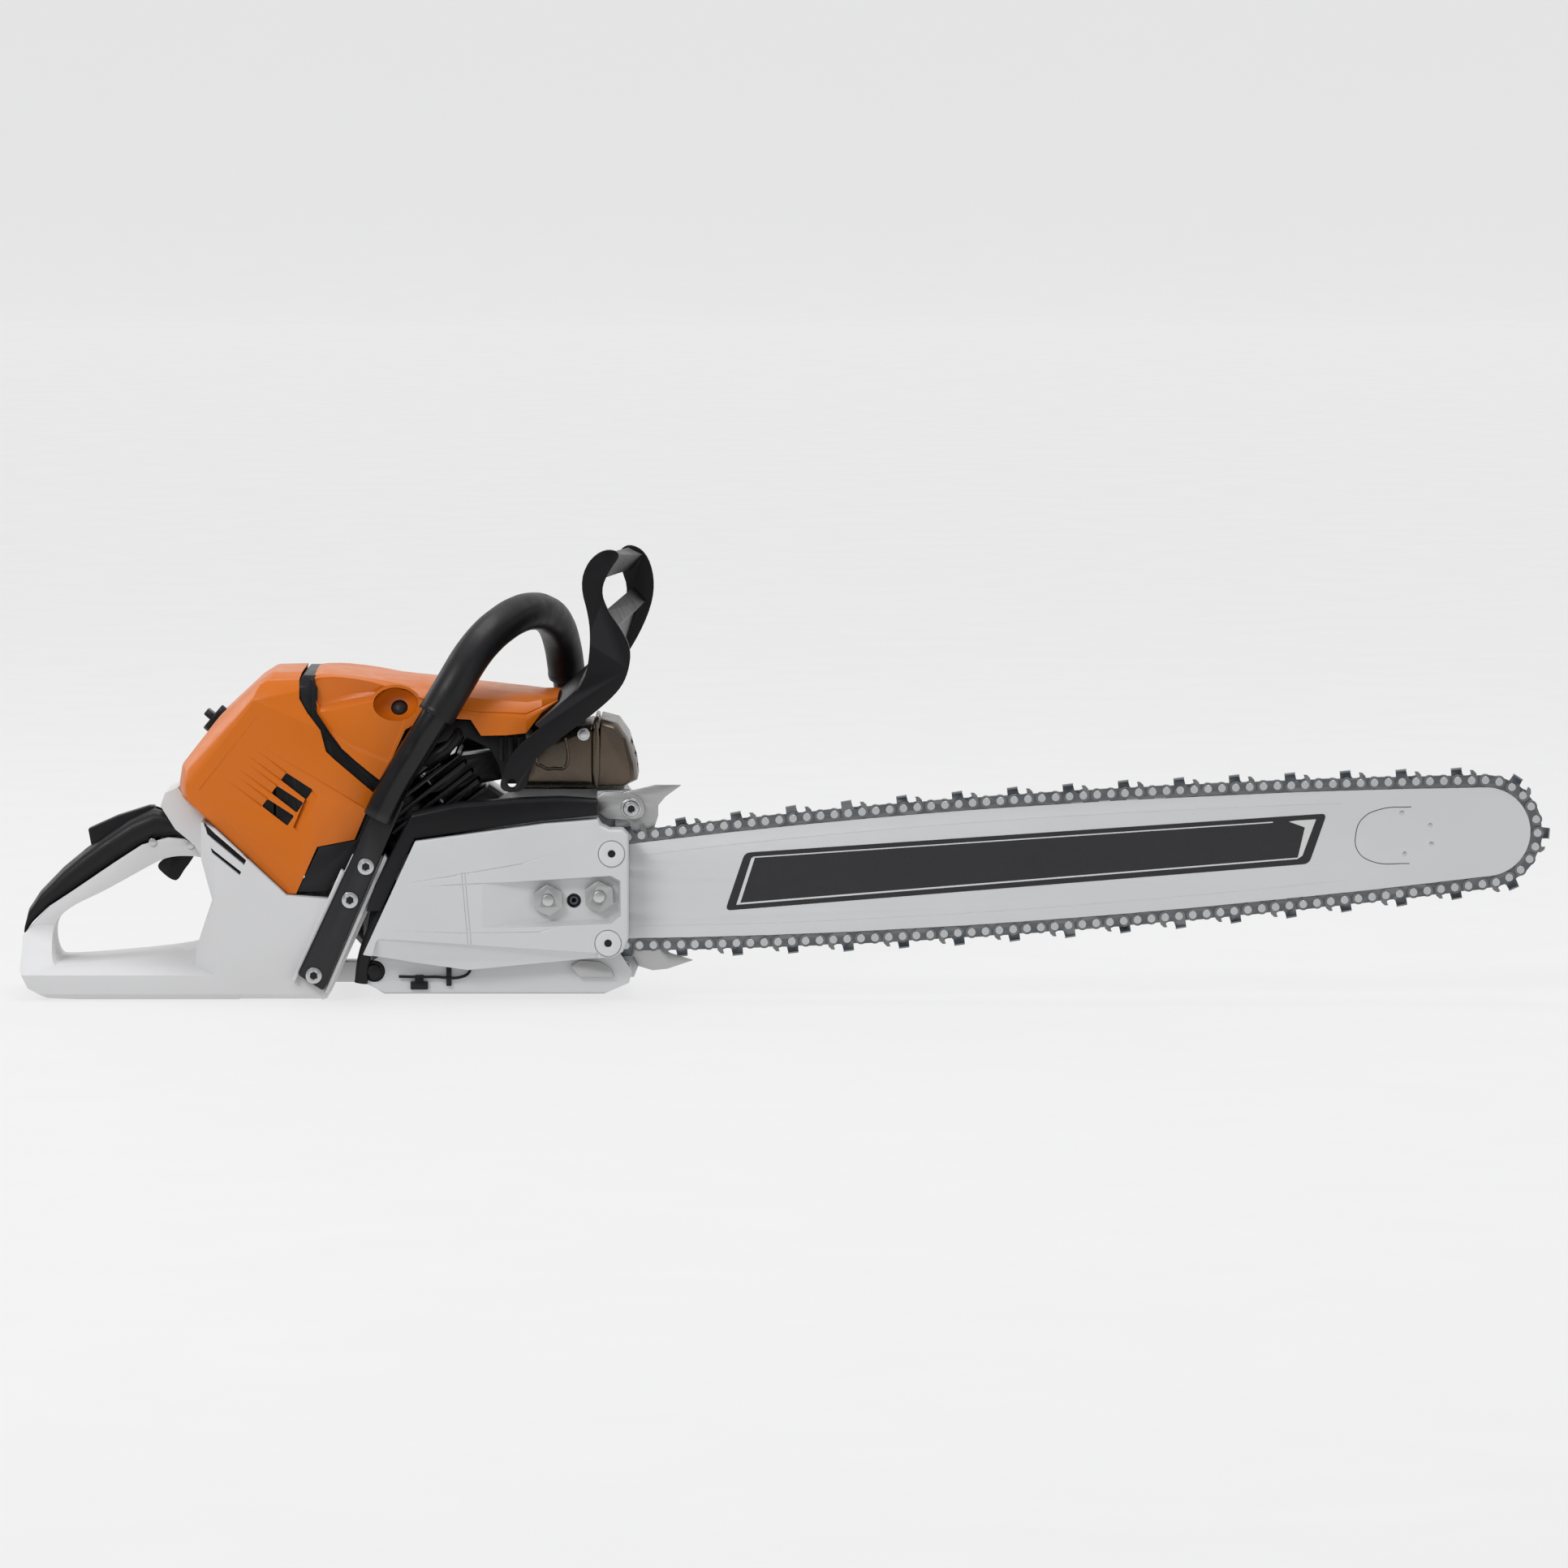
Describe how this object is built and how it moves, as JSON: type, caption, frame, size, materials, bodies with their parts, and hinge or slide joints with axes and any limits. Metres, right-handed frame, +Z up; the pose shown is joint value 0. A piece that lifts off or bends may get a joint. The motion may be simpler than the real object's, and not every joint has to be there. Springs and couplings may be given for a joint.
{
  "type": "chainsaw",
  "caption": "Petrol chainsaw with a rear handle, wrap-around front handle, folding hand guard, sprocket cover, and a long guide bar with a full cutting chain.",
  "frame": {"origin": "on the base plane, straight below the crankshaft, on the engine centre plane", "axes": "+X forward along the guide bar, +Y to the operator's left, +Z up"},
  "size_m": [1.0525, 0.192, 0.3099],
  "materials": {
    "orange_plastic": "glossy orange moulded plastic",
    "light_plastic": "light grey moulded plastic, satin",
    "light_casting": "light silver-grey painted magnesium casting",
    "black_plastic": "black moulded plastic, satin",
    "grey_plastic": "dark grey plastic",
    "rubber": "black rubber",
    "black_metal": "black painted metal",
    "heated_steel": "bare steel browned by exhaust heat",
    "bright_steel": "bright steel",
    "dark_steel": "blue-black hardened steel",
    "bare_aluminium": "machined aluminium",
    "bar_paint": "light grey paint with a dark slanted panel",
    "filter_felt": "pleated felt",
    "rope_fibre": "braided cord"
  },
  "bodies": {
    "saw": {"tank_housing": "light_plastic", "rear_grip": "black_plastic", "handle_pins": "bright_steel", "filter_cover": "orange_plastic", "air_filter": "filter_felt", "intake_housing": "black_plastic", "throttle_body": "bare_aluminium", "top_shroud": "orange_plastic", "engine_cylinder": "black_metal", "spark_plug": "bare_aluminium", "spark_plug_boot": "rubber", "piston": "bare_aluminium", "connecting_rod": "bare_aluminium", "crankcase_right": "light_casting", "crankcase_left": "light_casting", "main_bearings": "bright_steel", "oil_pump": "bare_aluminium", "muffler_rear_shell": "heated_steel", "muffler_front_shell": "heated_steel", "exhaust_gasket": "dark_steel", "starter_cover": "light_plastic", "rewind_spring": "bright_steel", "sprocket_cover": "light_casting", "brake_cover": "black_plastic", "brake_band": "bright_steel", "front_handle": "black_metal", "handle_sleeve": "rubber", "handle_screws": "bright_steel", "vibration_mounts": "rubber", "spike_bracket": "bright_steel", "bumper_spike": "bright_steel", "case_screws": "bright_steel", "chain_catcher": "bright_steel", "bar_studs": "bright_steel", "bar_nuts": "bright_steel", "chain_tensioner": "bright_steel", "guide_bar": "bar_paint", "chain_drive_links": "dark_steel", "chain_tie_straps": "dark_steel", "chain_right_cutters": "dark_steel", "chain_left_cutters": "dark_steel", "chain_rivets": "bright_steel"},
    "trigger": {"throttle_trigger": "black_plastic"},
    "interlock": {"trigger_interlock": "black_plastic"},
    "switch": {"stop_switch": "black_plastic"},
    "guard": {"hand_guard": "black_plastic"},
    "valve": {"decompression_valve": "black_plastic"},
    "knob": {"cover_knob": "black_plastic"},
    "pull": {"starter_grip": "black_plastic", "starter_rope": "rope_fibre"},
    "pulley": {"rope_pulley": "black_plastic"},
    "crank": {"crankshaft": "bright_steel", "flywheel": "bare_aluminium", "clutch_hub": "dark_steel"},
    "drive": {"drive_sprocket": "bright_steel"},
    "nose": {"nose_sprocket": "bright_steel"},
    "fuel_cap": {"fuel_cap": "black_plastic"},
    "fuel_lever": {"fuel_cap_lever": "grey_plastic"},
    "oil_cap": {"oil_cap": "black_plastic"},
    "oil_lever": {"oil_cap_lever": "grey_plastic"}
  },
  "joints": [
    {"name": "throttle_trigger_squeeze", "type": "hinge", "parent": "saw", "child": "trigger", "pos_m": [-0.186, 0, 0.102], "axis": [0, 1, 0], "range_deg": [0, 16], "stiffness_Nm_per_rad": 0.5, "springref_deg": -11.46},
    {"name": "interlock_press", "type": "hinge", "parent": "saw", "child": "interlock", "pos_m": [-0.2125, 0, 0.104], "axis": [0, -1, 0], "range_deg": [0, 10], "stiffness_Nm_per_rad": 0.5, "springref_deg": -11.46},
    {"name": "stop_switch_turn", "type": "hinge", "parent": "saw", "child": "switch", "pos_m": [-0.187, 0.032, 0.124], "axis": [0, 1, 0], "range_deg": [0, 30]},
    {"name": "hand_guard_swing", "type": "hinge", "parent": "saw", "child": "guard", "pos_m": [0.038, 0, 0.15], "axis": [0, 1, 0], "range_deg": [0, 7]},
    {"name": "decompression_press", "type": "slide", "parent": "saw", "child": "valve", "axis": [0.3177, 0.5299, -0.7863], "range_m": [0, 0.003], "stiffness_N_per_m": 500, "springref_m": -0.001},
    {"name": "cover_knob_turn", "type": "hinge", "parent": "saw", "child": "knob", "pos_m": [-0.168, 0, 0.187], "axis": [-0.766, 0, 0.6428], "range_deg": [0, 90]},
    {"name": "starter_pull", "type": "slide", "parent": "saw", "child": "pull", "axis": [0, 0, 1], "range_m": [0, 0.9], "stiffness_N_per_m": 12, "springref_m": -0.4, "deforming": ["starter_rope"]},
    {"name": "rope_pulley_spin", "type": "hinge", "parent": "saw", "child": "pulley", "pos_m": [0, 0.074, 0.066], "axis": [0, 1, 0], "range_deg": [0, 1850]},
    {"name": "crank_spin", "type": "hinge", "parent": "saw", "child": "crank", "pos_m": [0, 0, 0.066], "axis": [0, 1, 0], "continuous": true},
    {"name": "drive_sprocket_spin", "type": "hinge", "parent": "saw", "child": "drive", "pos_m": [0, -0.062, 0.066], "axis": [0, 1, 0], "continuous": true},
    {"name": "nose_sprocket_spin", "type": "hinge", "parent": "saw", "child": "nose", "pos_m": [0.70627, -0.062, 0.11539], "axis": [0, 1, 0], "continuous": true},
    {"name": "fuel_cap_turn", "type": "hinge", "parent": "saw", "child": "fuel_cap", "pos_m": [-0.122, 0.058, 0.034], "axis": [0, 1, 0], "range_deg": [0, 90]},
    {"name": "fuel_cap_lever_lift", "type": "hinge", "parent": "fuel_cap", "child": "fuel_lever", "pos_m": [-0.1379, 0.0631, 0.034], "axis": [0, 0, 1], "range_deg": [0, 85]},
    {"name": "oil_cap_turn", "type": "hinge", "parent": "saw", "child": "oil_cap", "pos_m": [0.092, 0.04, 0.038], "axis": [0, 1, 0], "range_deg": [0, 90]},
    {"name": "oil_cap_lever_lift", "type": "hinge", "parent": "oil_cap", "child": "oil_lever", "pos_m": [0.0781, 0.0451, 0.038], "axis": [0, 0, 1], "range_deg": [0, 85]}
  ],
  "couplings": [
    {"joint": "rope_pulley_spin", "follows": "starter_pull", "rad_per_m": 35.714},
    {"joint": "nose_sprocket_spin", "follows": "drive_sprocket_spin", "ratio": 0.63636}
  ]
}
